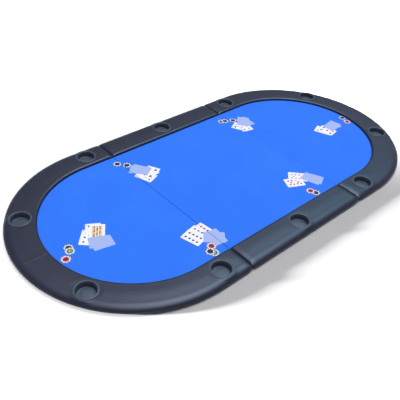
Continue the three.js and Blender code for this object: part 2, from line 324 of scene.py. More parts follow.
def print_ink(name, color, shade=0.86):
    """Ink printed into the cloth: the same weave shows through it."""
    made = Shader(name, color, 0.8, Specular_IOR_Level=0.2)
    tone = made.texture("Noise", 160, Detail=4.0)
    darker = tuple(c * shade for c in color)
    made.color(tone, 0.3, 0.65, darker, color)
    weave = made.texture("Wave", WEAVE, Distortion=0.6, Detail=1.0)
    made.bump(weave, 0.25, 0.1)
    return made.material


def moulded_plastic():
    made = Shader("cup_plastic", (0.05, 0.068, 0.1), 0.38, Specular_IOR_Level=0.35,
                  Specular_Tint=(0.75, 0.86, 1.0, 1))
    spark = made.texture("Noise", 1800, Detail=2.0)
    wear = made.texture("Noise", 40, Detail=5.0)
    made.color(wear, 0.35, 0.75, (0.044, 0.060, 0.090), (0.058, 0.078, 0.112))
    made.roughness(wear, 0.3, 0.7, 0.36, 0.5)
    made.bump(spark, 0.35, 0.12)
    return made.material


def black_board():
    made = Shader("black_board", (0.02, 0.019, 0.018), 0.6)
    fibre = made.texture("Noise", 260, Detail=6.0)
    blotch = made.texture("Noise", 14, Detail=3.0)
    made.color(blotch, 0.3, 0.75, (0.016, 0.015, 0.014), (0.030, 0.028, 0.026))
    made.roughness(fibre, 0.3, 0.7, 0.5, 0.75)
    made.bump(fibre, 0.3, 0.2)
    return made.material


def plywood():
    made = Shader("birch_ply", (0.42, 0.29, 0.16), 0.7)
    grain = made.texture("Noise", 30, stretch=(1, 8, 12), Detail=6.0)
    made.color(grain, 0.3, 0.7, (0.32, 0.2, 0.1), (0.5, 0.36, 0.2))
    made.roughness(grain, 0.3, 0.7, 0.6, 0.8)
    made.bump(grain, 0.3, 0.2)
    return made.material


def grey_foam():
    made = Shader("grey_foam", (0.16, 0.17, 0.18), 0.95)
    cells = made.texture("Voronoi", 900)
    made.color(cells, 0.0, 0.8, (0.09, 0.095, 0.1), (0.2, 0.21, 0.22))
    made.bump(cells, 0.6, 0.5)
    return made.material


def zinc_steel():
    made = Shader("zinc_steel", (0.55, 0.55, 0.56), 0.34, metallic=1.0)
    brushed = made.texture("Noise", 500, stretch=(1, 12, 1), Detail=3.0)
    stain = made.texture("Noise", 60, Detail=5.0)
    made.color(stain, 0.3, 0.7, (0.44, 0.44, 0.45), (0.62, 0.62, 0.63))
    made.roughness(brushed, 0.3, 0.7, 0.28, 0.45)
    made.bump(brushed, 0.15, 0.05)
    return made.material


def foot_rubber():
    made = Shader("foot_rubber", (0.014, 0.014, 0.015), 0.85)
    dust = made.texture("Noise", 220, Detail=5.0)
    made.color(dust, 0.4, 0.8, (0.012, 0.012, 0.013), (0.035, 0.034, 0.033))
    made.bump(dust, 0.4, 0.2)
    return made.material


def thread():
    made = Shader("thread", (0.03, 0.033, 0.045), 0.6)
    twist = made.texture("Wave", 900, Distortion=0.5)
    made.color(twist, 0.2, 0.8, (0.012, 0.014, 0.022), (0.034, 0.038, 0.052))
    made.bump(twist, 0.5, 0.1)
    return made.material


LEATHERETTE = leatherette()
CLOTH = speed_cloth()
CUP_PLASTIC = moulded_plastic()
BOARD_BLACK = black_board()
PLYWOOD = plywood()
FOAM = grey_foam()
STEEL = zinc_steel()
RUBBER = foot_rubber()
THREAD = thread()
INKS = [
    print_ink("ink_card_white", (0.86, 0.88, 0.96), 0.93),
    print_ink("ink_card_back", (0.37, 0.48, 0.83), 0.95),
    print_ink("ink_black", (0.03, 0.035, 0.06)),
    print_ink("ink_red", (0.55, 0.03, 0.05)),
    print_ink("ink_green", (0.05, 0.3, 0.16)),
    print_ink("ink_gold", (0.72, 0.42, 0.06)),
    print_ink("ink_cream", (0.86, 0.78, 0.55)),
    print_ink("ink_pale", (0.76, 0.80, 0.90)),
]
WHITE, BACK, BLACK, RED, GREEN, GOLD, CREAM, PALE = range(len(INKS))


def finish_piece(piece, body, slot, *replaced, material=None, sharp=None):
    """Body and the CAD nodes that a piece stands for, with its one material and the angle in
    degrees from which its edges stay sharp. The slot is not used."""
    if sharp is not None:
        piece.data.set_sharp_from_angle(angle=math.radians(sharp))
    if material is not None:
        piece.data.materials.clear()
        piece.data.materials.append(material)
    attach(piece, body)
    if replaced:
        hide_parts(*replaced)


# ---- rails ----

# How far the rail rolls in at a fold, and over what distance from it: its top, its outer side (which
# pinches the outline) and its inner edge.
TOP_ROLL = (9.0, 27.0)
SIDE_ROLL = (8.1, 26.0)
INNER_ROLL = (2.5, 12.0)

# Gaps between the rail's surface and the box that the frame gives its cover.
TOP_CLEAR = 0.2
INNER_CLEAR = 0.5
OUTER_CLEAR = 0.3
UNDER_CLEAR = 0.1

CROWN = 1.1              # rise of the rail's top between its two edges
INNER_ROUND = (12.0, 8.5)
OUTER_ROUND = (36.0, 17.0)       # width and height of the shoulder above the rail's widest line
END_OUTER_ROUND = (13.0, 12.5)   # squarer at a fold, so that the board's corner stays covered
INNER_STEPS = 11
TOP_STEPS = 22
SHOULDER_STEPS = 18
LOWER_STEPS = 8

SKIN = 1.1
HEM = 27.0               # width turned under the board
HEM_WAVE = 1.4           # unevenness of the hem's edge
HEM_WAVE_LENGTH = 30.0
FOAM_DEPTH = 1.9         # of the foam's surface under the leatherette's
FOAM_START = 1.7         # from the fold
CORE_START = 9.0
CORE_EASE = 0.8          # width of the core's eased edges
FIT = 0.4                # gap between one layer and the next
COVER_LIFT = 0.5         # from the board to the leatherette's inner edge
CUP_HOLE_RADIUS = 42.2   # in every layer of the rail and in the board
CUTTER_BELOW = 5.0       # how far a hole's cutter goes past the floor and the rail's top
CUTTER_ABOVE = 15.0

SEAM_DEPTH = 0.3         # the groove of the cross seam at the tip of each end
SEAM_WIDTH = 1.3
SWELL = 0.18             # rise of the leatherette beside it
SWELL_PLACE = 6.0
SWELL_WIDTH = 4.0
SEAM_SHARE = 0.4         # of the groove that shows in the foam

# Length and depth of the upholstery's two kinds of unevenness, and where in the noise each starts.
BROAD_WAVE = (75.0, 0.22, Vector((0, 0, 0)))
FINE_WAVE = (22.0, 0.07, Vector((7, 3, 1)))
UNEVEN_FROM = 16.0       # height where it starts
UNEVEN_OVER = 8.0        # rise over which it grows to its full depth
PRESSED_RADIUS = 62.0    # round a cup, within which its flange holds the leatherette down
PRESSED_DEPTH = 0.4


def rolled(e, roll):
    """How far a surface has rolled in at a distance e from the fold."""
    drop, length = roll
    k = max(0.0, 1 - e / length)
    return drop * (1 - math.sqrt(1 - k * k))


def seam_dip(a):
    """Depth of the cross seam at a distance a along the rail: a groove between two soft swells."""
    swell = math.exp(-(((abs(a) - SWELL_PLACE) / SWELL_WIDTH) ** 2))
    return SEAM_DEPTH * math.exp(-((a / SEAM_WIDTH) ** 2)) - SWELL * swell


FAR_FROM_SEAM = 1000.0
FAR_FROM_FOLD = 1000.0


class Station:
    """A place along a rail: a point on its inner edge, the outward direction, the distance e to the
    nearer fold and the distance a along the rail to its seam."""

    def __init__(self, x, y, nx, ny, e, a=FAR_FROM_SEAM):
        self.x, self.y, self.nx, self.ny, self.e, self.a = x, y, nx, ny, e, a

    def point(self, u, z):
        return (self.x + self.nx * u, self.y + self.ny * u, z)


# Distances of the stations from a fold and from the seam, then their pitches elsewhere.
FOLD_STEPS = [0, 0.35, 0.9, 1.7, 2.8, 4.2, 5.9, 7.9, 10.2, 12.8, 15.7, 18.9, 22.4, 26.2, 30.5, 35.5]
SEAM_STEPS = [0.7, 1.4, 2.2, 3.2, 4.6, 6.5, 9]
STRAIGHT_PITCH = 6.0
ARC_PITCH = math.radians(1.0)


def straight_distances(length, both_ends):
    """Distances from a fold, close together near it and even farther away."""
    near = [d for d in FOLD_STEPS if d < length / 2]
    far = [length - d for d in reversed(near)] if both_ends else [length]
    gap = far[0] - near[-1]
    count = max(1, round(gap / STRAIGHT_PITCH))
    return near + [near[-1] + gap * i / count for i in range(1, count)] + far


def middle_stations(side):
    length = 2 * MIDDLE_EDGE
    return [
        Station(side * (s - MIDDLE_EDGE), side * INNER_RADIUS, 0, side, min(s, length - s))
        for s in straight_distances(length, True)
    ]


def end_stations(side):
    """Clockwise round the right-hand end, or the same turned half round for the left one."""
    straight = END_CENTRE_X - SECTION_EDGE
    middle_radius = INNER_RADIUS + RAIL_WIDTH / 2
    distances = straight_distances(straight, False)
    quarter = math.pi / 2
    seam_angles = [d / middle_radius for d in SEAM_STEPS]
    clear = seam_angles[-1] + ARC_PITCH / 2
    count = round((quarter - clear) / ARC_PITCH)
    angles = [quarter - (quarter - clear) * i / count for i in range(1, count + 1)]
    angles += list(reversed(seam_angles)) + [0.0]
    angles += [-a for a in reversed(angles[:-1])]
    places = [(SECTION_EDGE + s, INNER_RADIUS, 0, 1, s, FAR_FROM_SEAM) for s in distances]
    for angle in angles:
        e = straight + INNER_RADIUS * (quarter - abs(angle))
        nx, ny = math.cos(angle), math.sin(angle)
        x, y = END_CENTRE_X + INNER_RADIUS * nx, INNER_RADIUS * ny
        places.append((x, y, nx, ny, e, angle * middle_radius))
    places += [(SECTION_EDGE + s, -INNER_RADIUS, 0, -1, s, FAR_FROM_SEAM) for s in reversed(distances)]
    return [Station(side * x, side * y, side * nx, side * ny, e, a) for x, y, nx, ny, e, a in places]


def rail_outline(station, depth):
    """The rail's rounded outer outline at a depth under its surface: inner edge, top, outer side."""
    e = station.e
    dip = seam_dip(station.a) * (1 if depth == 0 else SEAM_SHARE)
    top = RAIL_TOP - TOP_CLEAR - depth - dip - rolled(e, TOP_ROLL)
    inner = INNER_CLEAR + depth + rolled(e, INNER_ROLL)
    side = rolled(e, SIDE_ROLL)
    outer = RAIL_WIDTH - OUTER_CLEAR - depth - dip - side
    wide, high = (a + (b - a) * side / SIDE_ROLL[0] for a, b in zip(OUTER_ROUND, END_OUTER_ROUND))
    low = RAIL_TOP - high
    foot = RAIL_TOP - INNER_ROUND[1] - depth
    start = inner + INNER_ROUND[0] - depth
    end = outer - wide + depth
    points = []
    for i in range(INNER_STEPS):
        angle = math.radians(180 - 90 * i / INNER_STEPS)
        points.append((start + (start - inner) * math.cos(angle), foot + (top - foot) * math.sin(angle)))
    for i in range(TOP_STEPS + 1):
        k = i / TOP_STEPS
        points.append((start + (end - start) * k, top + CROWN * math.sin(math.pi * k) ** 1.5))
    for i in range(1, SHOULDER_STEPS + 1):
        angle = math.radians(90 - 90 * i / SHOULDER_STEPS)
        points.append((end + (outer - end) * math.cos(angle), low + (top - low) * math.sin(angle)))
    return points


def tucked(outline, u, z):
    """The quarter ellipse that carries an outline on from its widest line to a point beneath."""
    outer, low = outline[-1]
    angles = [math.radians(90 * i / LOWER_STEPS) for i in range(1, LOWER_STEPS + 1)]
    return [(u + (outer - u) * math.cos(a), low - (low - z) * math.sin(a)) for a in angles]


def near_cup(x, y):
    """Distance to the nearest cup's centre."""
    return min(math.hypot(x - centre.x, y - centre.y) for centre in CUPS.values())


def unevenness(place, length, depth, start):
    return depth * (1 + noise.noise(place / length + start))


def soften(point, share):
    """Unevenness of upholstery, always inwards, and its hollow where a cup's flange presses on it."""
    x, y, z = point
    place = Vector((x, y, z))
    level = min(1.0, max(0.0, (z - UNEVEN_FROM) / UNEVEN_OVER))
    z -= level * share * (unevenness(place, *BROAD_WAVE) + unevenness(place, *FINE_WAVE))
    r = near_cup(x, y)
    if r < PRESSED_RADIUS and level > 0:
        k = min(1.0, (PRESSED_RADIUS - r) / (PRESSED_RADIUS - CUP_FLANGE_RADIUS))
        k = level * k * k * (3 - 2 * k)
        z += (RAIL_TOP - PRESSED_DEPTH - (1 - share) * FOAM_DEPTH - z) * k
    return (x, y, z)


def drill(piece, prefix, radius=CUP_HOLE_RADIUS):
    """Cuts the holes of the cups whose names start with a prefix."""
    bottom, top = -CUTTER_BELOW, RAIL_TOP + CUTTER_ABOVE
    profile = [(0, bottom), (radius, bottom), (radius, top), (0, top)]
    cutters = [turned("cutter", profile, 72, c.x, c.y) for n, c in CUPS.items() if n.startswith(prefix)]
    subtract(piece, join_pieces("cutter", cutters))


def cover_line(station):
    """The leatherette's section: down to the board inside, over the rail, and turned under."""
    outline = rail_outline(station, 0)
    inner = outline[0][0]
    bottom = SKIN_BOTTOM + UNDER_CLEAR
    wave = HEM_WAVE * noise.noise(Vector((station.x, station.y, 0)) / HEM_WAVE_LENGTH)
    line = [(inner, BOARD_HIGH.z + COVER_LIFT), (inner, BOARD_HIGH.z + 3)] + outline
    line += tucked(outline, BOARD_EDGE_U + SKIN + 0.2, bottom)
    start, end = line[-1][0], RAIL_WIDTH - HEM + wave
    return line + [(start + (end - start) * k, bottom) for k in (0.25, 0.5, 0.75, 1.0)]


def tube(rings):
    """Faces between closed rings of equally many points, with a face on each end. The rings run
    clockwise about the direction in which they follow each other."""
    faces = []
    count = len(rings[0])
    for a, b in zip(rings, rings[1:]):
        faces += [[a[j], b[j], b[(j + 1) % count], a[(j + 1) % count]] for j in range(count)]
    return faces + [rings[0], rings[-1][::-1]]


def sweep_rail(name, stations, section, share):
    """A closed solid: a section of [u, z] points at every station. The share is how much of the
    leatherette's unevenness it takes, and a negative one leaves it flat."""
    points, rings = [], []
    for station in stations:
        ring = section(station)
        rings.append(list(range(len(points), len(points) + len(ring))))
        level = [station.point(u, z) for u, z in ring]
        points += level if share < 0 else [soften(point, share) for point in level]
    return add_mesh(name, points, tube(rings))


def keep_faces(piece, wanted):
    """Deletes the faces that a test refuses."""
    shape = bmesh.new()
    shape.from_mesh(piece.data)
    doomed = [face for face in shape.faces if not wanted(face)]
    bmesh.ops.delete(shape, geom=doomed, context="FACES")
    shape.to_mesh(piece.data)
    shape.free()


def make_cover(name, body, stations, cups):
    """The rail's whole body is cut for the cups, then only its leatherette is kept."""
    under = SKIN_BOTTOM + 1.0
    over = BOARD_HIGH.z + COVER_LIFT
    beside = BOARD_EDGE_U + FIT

    def section(station):
        line = cover_line(station)
        return line + [(line[-1][0], under), (beside, under), (beside, over)]

    cover = sweep_rail(f"{name}_upholstery", stations, section, 1.0)
    columns = len(section(stations[0]))
    shown = len(cover_line(stations[0])) - 1
    spans = (len(stations) - 1) * columns
    cover.data.materials.append(LEATHERETTE)
    cover.data.materials.append(None)
    for polygon in cover.data.polygons:
        hidden = polygon.index < spans and polygon.index % columns >= shown
        polygon.material_index = 1 if hidden else 0
    apply_modifier(cover, "TRIANGULATE", min_vertices=5)
    drill(cover, cups)
    keep_faces(cover, lambda face: face.material_index == 0)
    apply_modifier(cover, "SOLIDIFY", thickness=SKIN * MM, offset=-1.0, use_even_offset=False)
    finish_piece(cover, body, "leatherette", f"{name}_rail_cover", material=LEATHERETTE, sharp=50)


def make_foam(name, body, stations, cups):
    """The foam between the leatherette and the core, and all that fills the rail's rolled ends."""
    lip = SKIN_BOTTOM + 2.4
    beside = BOARD_EDGE_U + FIT
    bottom = FELT_TOP + 0.3

    def section(station):
        outline = rail_outline(station, FOAM_DEPTH)
        under = (CORE_HIGH.z if station.e > CORE_START else BOARD_HIGH.z) + FIT
        ring = [(outline[0][0], bottom)] + outline + tucked(outline, beside, lip) + [(beside, under)]
        return ring + [(CORE_INSET - FIT, under), (CORE_INSET - FIT, bottom)]

    foam = sweep_rail(f"{name}_foam", [s for s in stations if s.e >= FOAM_START], section, 0.0)
    apply_modifier(foam, "TRIANGULATE", min_vertices=5)
    drill(foam, cups)
    finish_piece(foam, body, "foam", f"{name}_rail_pad", material=FOAM, sharp=45)


def make_core(name, body, stations, cups):
    """The plywood strip that carries the foam, its long edges eased."""
    left, right, low, high = CORE_INSET, CORE_OUTER, CORE_LOW.z, CORE_HIGH.z
    ease = CORE_EASE
    ring = [(left, low + ease), (left, high - ease), (left + ease, high), (right - ease, high),
            (right, high - ease), (right, low + ease), (right - ease, low), (left + ease, low)]
    core = sweep_rail(f"{name}_core_strip", [s for s in stations if s.e > CORE_START], lambda s: ring, -1)
    apply_modifier(core, "TRIANGULATE", min_vertices=5)
    drill(core, cups, CUP_HOLE_RADIUS + 0.3)
    finish_piece(core, body, "rail_core", f"{name}_rail_core", material=PLYWOOD, sharp=40)


def make_rails():
    rails = [(name, name, end_stations(side), f"{name}_cup") for name, side in END_BODIES.items()]
    rails += [(f"middle_{name}", "middle", middle_stations(side), f"middle_cup_{name}")
              for name, side in MIDDLE_SIDES.items()]
    for rail in rails:
        make_cover(*rail)
        make_foam(*rail)
        make_core(*rail)


make_rails()

# ---- boards and cloth ----

EASE = 0.8               # of the edges of boards and cloth
FLUSH = {"left": 0.0, "right": 0.0}
# How far the cloth comes past the boards at each fold, where its edges all but meet.
CLOTH_PAST = {"left": 0.0, "right": 0.6}


def plan(body, radius, past):
    """A section's outline, a D at each end and a rectangle between them, and its length. It comes
    past the section's own edge at each fold."""
    if body == "middle":
        left, right = MIDDLE_EDGE + past["left"], MIDDLE_EDGE + past["right"]
        return [(-left, -radius), (right, -radius), (right, radius), (-left, radius)], left + right
    side, start = END_BODIES[body], SECTION_EDGE - past[body]
    outline = [(start, -radius)] + arc_points(END_CENTRE_X, 0, radius, -90, 90, 96) + [(start, radius)]
    return [(side * x, side * y) for x, y in outline], END_CENTRE_X - start + radius


def slab(name, outline, bottom, top, both_edges):
    """A flat plate with rounded edges, or only its upper ones."""
    plate = add_mesh(name, *prism(outline, bottom, top))
    level = bottom if both_edges else (bottom + top) / 2
    bevel(plate, EASE, 4, lambda a, b: abs(a.z - b.z) < 0.001 and a.z >= level - 0.001)
    return plate


def make_boards():
    for body in (*END_BODIES, "middle"):
        outline, _ = plan(body, BOARD_HIGH.y, FLUSH)
        board = slab(f"{body}_fibreboard", outline, BOARD_LOW.z, BOARD_HIGH.z, True)
        drill(board, f"{body}_cup")
        finish_piece(board, body, "board", f"{body}_board", material=BOARD_BLACK, sharp=40)


def make_cloth():
    """Each section's cloth is bonded to a thin underlay, and rolls down at the fold."""
    for body in (*END_BODIES, "middle"):
        outline, length = plan(body, FELT_RADIUS, CLOTH_PAST)
        cloth = slab(f"{body}_cloth", outline, FELT_LOW.z, FELT_TOP, False)
        finish_piece(cloth, body, "felt", f"{body}_felt", material=CLOTH, sharp=40)


make_boards()
make_cloth()

# ---- cup holders ----

CUP_MOUTH_RADIUS = 40.0
CUP_FLOOR_RADIUS = 36.6
CUP_WALL = 1.3
CUP_STEP = 0.3           # height of the ring in the floor's middle
LIP_DEPTH = 3.0          # height over which the flange rolls into the mouth
LIP_STEPS = 10
FLANGE_EDGE = 5.6        # width of the flange outside that roll


def cup_profile():
    """From the outside of the floor, up the wall, over the rolled flange and back to the floor."""
    under = RAIL_TOP - 0.4
    lip = CUP_TOP - 0.1
    well = CUP_FLOOR_RADIUS - 1.8
    edge = CUP_FLANGE_RADIUS - FLANGE_EDGE
    floor = CUP_BOTTOM + CUP_WALL
    profile = [(0, CUP_BOTTOM + 0.6), (CUP_FLOOR_RADIUS - 5, CUP_BOTTOM + 0.6)]
    profile += [(CUP_FLOOR_RADIUS - 4, CUP_BOTTOM)]
    profile += arc_points(CUP_FLOOR_RADIUS - 1.2, CUP_BOTTOM + 2.5, 2.5, -90, -5, 5)
    profile += [(CUP_MOUTH_RADIUS + 0.5, under - 2.0), (CUP_MOUTH_RADIUS + 2.2, under)]
    profile += [(CUP_FLANGE_RADIUS - 1.0, under - 0.3)]
    profile += arc_points(CUP_FLANGE_RADIUS - 1.0, under + 0.6, 0.9, -80, 70, 7)
    profile += arc_points(CUP_FLANGE_RADIUS - 4.2, lip - 1.2, 1.2, 70, 90, 2)
    for i in range(1, LIP_STEPS + 1):
        angle = math.radians(90 * i / LIP_STEPS)
        r = edge - (edge - CUP_MOUTH_RADIUS + 0.5) * math.sin(angle)
        profile.append((r, lip - LIP_DEPTH * (1 - math.cos(angle))))
    profile += [(CUP_MOUTH_RADIUS - 0.9, lip - LIP_DEPTH - 0.5), (well + 1.9, CUP_BOTTOM + 8)]
    profile += arc_points(well - 2.6, CUP_BOTTOM + 5.6, 4.3, -5, -88, 8)
    ring = floor + CUP_STEP
    return profile + [(24, floor + 0.05), (23, ring), (12, ring), (0, ring)]


def make_cups():
    profile = cup_profile()
    for node, centre in CUPS.items():
        cup = turned(f"{node}_moulding", profile, 96, centre.x, centre.y)
        finish_piece(cup, node.split("_")[0], "cup", node, material=CUP_PLASTIC, sharp=40)


make_cups()

# ---- feet ----

def foot_profile(radius, bottom, top):
    """A dished sole with one groove, then the side and the flat top."""
    groove = bottom + 0.6
    profile = [(0, bottom + 1.2), (4, bottom + 1.2), (4.6, groove), (5.4, bottom)]
    profile += [(8.2, bottom), (8.8, groove), (9.8, groove), (10.4, bottom)]
    profile += arc_points(radius - 1.8, bottom + 1.5, 1.5, -90, -10, 4)
    return profile + [(radius - 0.6, top - 0.4), (radius - 1.0, top), (0, top)]


def make_feet():
    for node in [n for n in frame["nodes"] if "_foot_" in n]:
        low, high = node_box(node)
        centre = (low + high) / 2
        profile = foot_profile((high.y - low.y) / 2, low.z, high.z)
        foot = turned(f"{node}_pad", profile, 64, centre.x, centre.y)
        finish_piece(foot, node.split("_")[0], "foot", node, material=RUBBER, sharp=40)


make_feet()

# ---- hinges ----

LEAF_THICKNESS = 1.2
LEAF_CORNER = 4.0
LEAF_TOP = UNDERSIDE - HINGE_PIN         # over the pin's axis
KNUCKLE_RADIUS = 2.3
KNUCKLE_GAP = 0.4
KNUCKLES = 5             # of a butt hinge
PIN_HOLE_RADIUS = 1.3
PIN_EASE = 0.3
SCREW_HEAD = 3.4         # radius
SCREW_SPREAD = 20.0      # along the leaf
RECESS = (1.9, 0.32)     # half length and half width of a screw's cross slots
UPRIGHT = Matrix.Rotation(math.radians(90), 3, "X")      # turns a piece's Z to the hinge's axis


def turn_mesh(piece, matrix, x=0.0, y=0.0, z=0.0):
    piece.data.transform(Matrix.Translation(Vector((x, y, z)) * MM) @ matrix.to_4x4())


def screw_places(leaf_width):
    """Three screws on a leaf of a pin at x = 0."""
    middle, out = 0.5 * leaf_width + 1, leaf_width - 8
    return [(middle, -SCREW_SPREAD), (out, 0), (middle, SCREW_SPREAD)]


def subtract_pin_hole(piece, depth, x=0.0):
    profile = [(0, -1), (PIN_HOLE_RADIUS, -1), (PIN_HOLE_RADIUS, depth), (0, depth)]
    subtract(piece, turned("hole", profile, 24, x))


def knuckle_tube(start, end):
    """A knuckle as a ring round the pin, with the shoulder that joins it to the leaf's plate."""
    under, shoulder = LEAF_TOP - LEAF_THICKNESS, 9
    outline = [(0.0, LEAF_TOP)] + arc_points(0, 0, KNUCKLE_RADIUS, 90, 360, 24)
    outline += [(KNUCKLE_RADIUS, under), (shoulder, under), (shoulder, LEAF_TOP)]
    body = add_mesh("knuckle", *prism(outline, 0, end - start))
    subtract_pin_hole(body, 99)
    turn_mesh(body, UPRIGHT, y=end)
    return body


def hinge_leaf(name, stretches, width, length):
    """A leaf about a pin at the origin, its plate towards +X, countersunk for its screws."""
    inner, half = KNUCKLE_RADIUS + KNUCKLE_GAP, length / 2
    corners = [(inner, -half), (width, -half), (width, half), (inner, half)]
    plate = add_mesh(name, *prism(corners, 0, LEAF_THICKNESS))
    bevel(plate, LEAF_CORNER, 6, lambda a, b: abs(a.z - b.z) > 0.1 and a.x > width / 2)
    cone = [(0, -0.5), (SCREW_HEAD + 0.9, -0.5), (SCREW_HEAD + 0.4, 0.0), (2.2, 1.0), (2.2, 3), (0, 3)]
    for x, y in screw_places(width):
        subtract(plate, turned("hole", cone, 32, x, y))
    turn_mesh(plate, Matrix.Identity(3), z=LEAF_TOP - LEAF_THICKNESS)
    for start, end in stretches:
        knuckle = knuckle_tube(start, end)
        apply_modifier(plate, "BOOLEAN", operation="UNION", object=knuckle, solver="MANIFOLD")
        remove(knuckle)
    return plate


def screw_solid():
    """A countersunk screw head with a cross recess, its face at z = 0 and pointing down."""
    head = [(0, 0.12), (1.0, 0.08), (SCREW_HEAD - 0.5, 0.0), (SCREW_HEAD, 0.12)]
    screw = turned("screw", head + [(2.0, 1.5), (1.6, 1.9), (0, 1.9)], 32)
    reach, half = RECESS
    slot = [(-reach, -half), (reach, -half), (reach, half), (-reach, half)]
    for angle in (20, 110):
        cutter = add_mesh("bar", *prism(slot, -0.5, 0.9))
        turn_mesh(cutter, Matrix.Rotation(math.radians(angle), 3, "Z"))
        subtract(screw, cutter)
    return screw


def make_leaf(node, pin_x, stretches, body, screw):
    low, high = node_box(node)
    y = (low.y + high.y) / 2
    towards_left = (low.x + high.x) / 2 < pin_x
    width = (pin_x - low.x) if towards_left else (high.x - pin_x)
    leaf = hinge_leaf(f"{node}_plate", stretches, width, high.y - low.y)
    spin = Matrix.Rotation(math.pi if towards_left else 0.0, 3, "Z")
    turn_mesh(leaf, spin, pin_x, y, HINGE_PIN)
    finish_piece(leaf, body, "steel", node, material=STEEL, sharp=35)
    heads = []
    for place in screw_places(width):
        head = screw.copy()
        head.data = screw.data.copy()
        bpy.context.scene.collection.objects.link(head)
        x, y_on_leaf, _ = spin @ Vector((*place, 0))
        turn_mesh(head, Matrix.Identity(3), pin_x + x, y + y_on_leaf, UNDERSIDE - LEAF_THICKNESS)
        heads.append(head)
    finish_piece(join_pieces(f"{node}_screws", heads), body, "steel", material=STEEL, sharp=35)


def make_pin(node, body):
    low, high = node_box(node)
    centre = (low + high) / 2
    radius = (high.x - low.x) / 2
    half = (high.y - low.y) / 2
    lower = [(0, -half), (radius - PIN_EASE, -half), (radius, -half + PIN_EASE)]
    pin = turned(f"{node}_rod", lower + [(r, -z) for r, z in reversed(lower)], 24)
    turn_mesh(pin, UPRIGHT, centre.x, centre.y, HINGE_PIN)
    finish_piece(pin, body, "steel", node, material=STEEL, sharp=35)


def make_link(node):
    """A flat bar with a rounded eye at each end."""
    low, high = node_box(node)
    reach = (high.x - low.x) / 2 - KNUCKLE_RADIUS
    width = high.y - low.y
    neck = math.degrees(math.asin(1.3 / KNUCKLE_RADIUS))
    outline = arc_points(-reach, 0, KNUCKLE_RADIUS, neck, 360 - neck, 20)
    outline += arc_points(reach, 0, KNUCKLE_RADIUS, 180 + neck, 540 - neck, 20)
    link = add_mesh(f"{node}_bar", *prism(outline, 0, width))
    for x in (-reach, reach):
        subtract_pin_hole(link, width + 1, x)
    turn_mesh(link, UPRIGHT, (low.x + high.x) / 2, high.y, HINGE_PIN)
    finish_piece(link, "right_links", "steel", node, material=STEEL, sharp=35)


def make_hinges():
    """Butt hinges at the left fold, and at the right one pairs of leaves about a link's two pins."""
    screw = screw_solid()
    low, high = node_box("left_hinge_far_pin")
    pitch = (high.y - low.y) / KNUCKLES
    reach = pitch * KNUCKLES / 2
    gap = KNUCKLE_GAP / 2
    ends = [(i * pitch - reach + gap, (i + 1) * pitch - reach - gap) for i in range(KNUCKLES)]
    for spot in ("far", "centre", "near"):
        name = f"left_hinge_{spot}"
        make_leaf(f"{name}_middle_leaf", -FOLD_X, ends[0::2], "middle", screw)
        make_leaf(f"{name}_left_leaf", -FOLD_X, ends[1::2], "left", screw)
        make_pin(f"{name}_pin", "middle")
    for spot in ("far", "near"):
        name = f"right_hinge_{spot}"
        link_low, link_high = node_box(f"{name}_link")
        half = (link_high.y - link_low.y) / 2 + KNUCKLE_GAP
        for body in ("middle", "right"):
            pin = f"{name}_{body}_pin"
            make_leaf(f"{name}_{body}_leaf", centre_of(pin).x, [(-reach, -half), (half, reach)], body, screw)
            make_pin(pin, body)
        make_link(f"{name}_link")
    remove(screw)


make_hinges()

# ---- staples under the boards ----

STAPLE_PITCH = 42.0
STAPLE_LENGTH = 10.0
STAPLE_WIRE = 0.9        # width of its crown
STAPLE_HEIGHT = 0.7
STAPLE_U = RAIL_WIDTH - HEM + 7
STAPLE_TURN = 0.25       # how far one may lie askew, in radians
STAPLES_START = 12.0     # from the fold


def staple(station, turn):
    """A staple's crown, half sunk in the turned leatherette and a little askew."""
    half, wire, sunk = STAPLE_LENGTH / 2, STAPLE_WIRE / 2, STAPLE_HEIGHT / 2
    x0, y0, _ = station.point(STAPLE_U, 0)
    along = math.atan2(station.nx, -station.ny) + turn
    c, s = math.cos(along), math.sin(along)
    outline = [(x0 + x * c - y * s, y0 + x * s + y * c)
               for x, y in ((-half, -wire), (half, -wire), (half, wire), (-half, wire))]
    return prism(outline, SKIN_BOTTOM - sunk, SKIN_BOTTOM + sunk)


def make_staples():
    rows = {"left": [end_stations(-1)], "right": [end_stations(1)],
            "middle": [middle_stations(1), middle_stations(-1)]}
    for body, runs in rows.items():
        rng = random.Random(body)
        soup = Soup()
        for stations in runs:
            last = None
            for station in stations:
                here = Vector(station.point(STAPLE_U, 0))
                too_near = last is not None and (here - last).length < STAPLE_PITCH
                if station.e < STAPLES_START or too_near:
                    continue
                soup.add(*staple(station, rng.uniform(-STAPLE_TURN, STAPLE_TURN)))
                last = here
        finish_piece(soup.build(f"{body}_staples", [STEEL], smooth=False), body, "steel")


make_staples()

# ---- stitching across the end rails ----

STITCH_LENGTH = 4.2
STITCH_GAP = 1.3
STITCH_RADIUS = 0.32
STITCH_SIDES = 6
STITCH_OFFSET = 3.4      # from the seam to each row
STITCH_DIP = 0.25        # of its two ends into the leatherette
STITCH_RISE = 0.08       # of its middle


def make_stitching():
    """A row of stitches on each side of the cross seam at the tip of each end rail."""
    for name, side in END_BODIES.items():
        soup = Soup()
        tip = Station(side * (END_CENTRE_X + INNER_RADIUS), 0, side, 0, FAR_FROM_FOLD, STITCH_OFFSET)
        outline = rail_outline(tip, 0)
        for row in (-1, 1):
            travelled, start = 0.0, None
            for (u0, z0), (u1, z1) in zip(outline, outline[1:]):
                travelled += math.hypot(u1 - u0, z1 - z0)
                if start is None:
                    start = (u0, z0)
                elif travelled >= STITCH_LENGTH:
                    soup.add(*stitch(tip, row * STITCH_OFFSET, start, (u1, z1)))
                    travelled, start = 0.0, None
        finish_piece(soup.build(f"{name}_stitching", [THREAD]), name, "leatherette")


